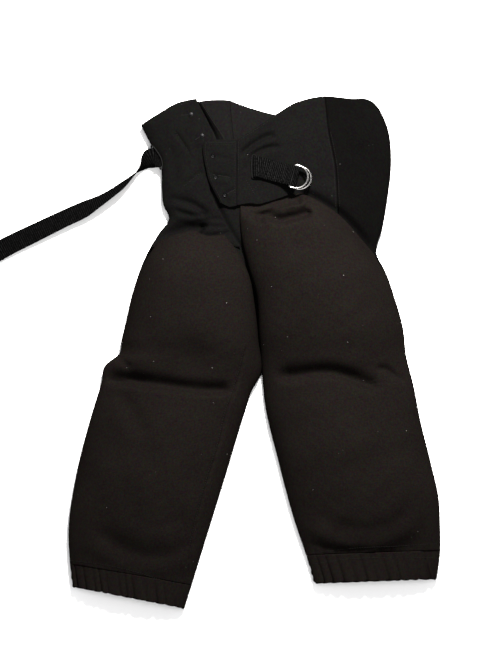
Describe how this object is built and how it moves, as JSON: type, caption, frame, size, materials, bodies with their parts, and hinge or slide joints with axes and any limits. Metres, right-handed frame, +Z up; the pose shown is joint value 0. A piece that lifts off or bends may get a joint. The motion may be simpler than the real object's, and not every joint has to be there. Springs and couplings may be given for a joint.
{
  "type": "hockey pants",
  "caption": "Knee-length youth hockey pants lying flat, front up: crowned leg shells with pads, gathered elastic cuffs, fly flap, and a webbing belt with two D-rings.",
  "frame": {"origin": "on the floor, under the middle of the pants without their loose belt tail", "axes": "+X towards the wearer's left, +Y from the cuffs towards the waist, +Z up from the floor through the back and then the front"},
  "size_m": [0.651, 0.6399, 0.0616],
  "materials": {
    "knit": "black brushed knit, matt with a soft sheen",
    "binding": "black thread, matt",
    "webbing": "black ribbed webbing, slight sheen",
    "elastic": "black braided elastic",
    "foam": "grey foam sheet in a cloth cover",
    "chrome": "polished chrome plate",
    "snap_metal": "dark nickel"
  },
  "bodies": {
    "pants": {"right_thigh_front": "knit", "left_thigh_front": "knit", "right_hip_front": "knit", "left_hip_front": "knit", "left_hip_side": "knit", "front_crotch_panel": "knit", "placket_facing": "knit", "right_seat_back": "knit", "left_seat_back": "knit", "right_thigh_pad": "foam", "left_thigh_pad": "foam", "inner_belt": "webbing", "belt_casing": "knit", "tab_slot_binding": "binding", "tail_slot_binding": "binding", "belt_tail": "webbing", "snap_stud_top": "snap_metal", "snap_stud_middle": "snap_metal", "snap_stud_bottom": "snap_metal"},
    "right_lower_leg": {"right_shin_front": "knit", "right_shin_back": "knit", "right_shin_pad": "foam", "right_cuff": "knit", "right_cuff_elastic": "elastic"},
    "left_lower_leg": {"left_shin_front": "knit", "left_shin_back": "knit", "left_shin_pad": "foam", "left_cuff": "knit", "left_cuff_elastic": "elastic"},
    "fly": {"fly_flap": "knit", "snap_cap_top": "snap_metal", "snap_cap_middle": "snap_metal", "snap_cap_bottom": "snap_metal"},
    "tab": {"belt_tab": "webbing"},
    "upper_ring": {"upper_d_ring": "chrome"},
    "lower_ring": {"lower_d_ring": "chrome"}
  },
  "joints": [
    {"name": "right_knee_fold", "type": "hinge", "parent": "pants", "child": "right_lower_leg", "pos_m": [-0.09, -0.031, 0.0313], "axis": [-1, 0, 0], "range_deg": [0, 80]},
    {"name": "left_knee_fold", "type": "hinge", "parent": "pants", "child": "left_lower_leg", "pos_m": [0.102, -0.026, 0.0313], "axis": [-1, 0, 0], "range_deg": [0, 80]},
    {"name": "fly_open", "type": "hinge", "parent": "pants", "child": "fly", "pos_m": [-0.022, 0.222, 0.03278], "axis": [0, 1, 0], "range_deg": [0, 115]},
    {"name": "tab_lift", "type": "hinge", "parent": "pants", "child": "tab", "pos_m": [0.0036, 0.2305, 0.0372], "axis": [0, -1, 0], "range_deg": [0, 85]},
    {"name": "upper_ring_turn", "type": "hinge", "parent": "tab", "child": "upper_ring", "pos_m": [0.04742, 0.21826, 0.04], "axis": [-0.2689, -0.9632, 0], "range_deg": [0, 90]},
    {"name": "lower_ring_turn", "type": "hinge", "parent": "tab", "child": "lower_ring", "pos_m": [0.05128, 0.21719, 0.0369], "axis": [-0.2689, -0.9632, 0], "range_deg": [0, 90]}
  ],
  "couplings": [
    {"joint": "lower_ring_turn", "follows": "upper_ring_turn", "ratio": 1}
  ]
}
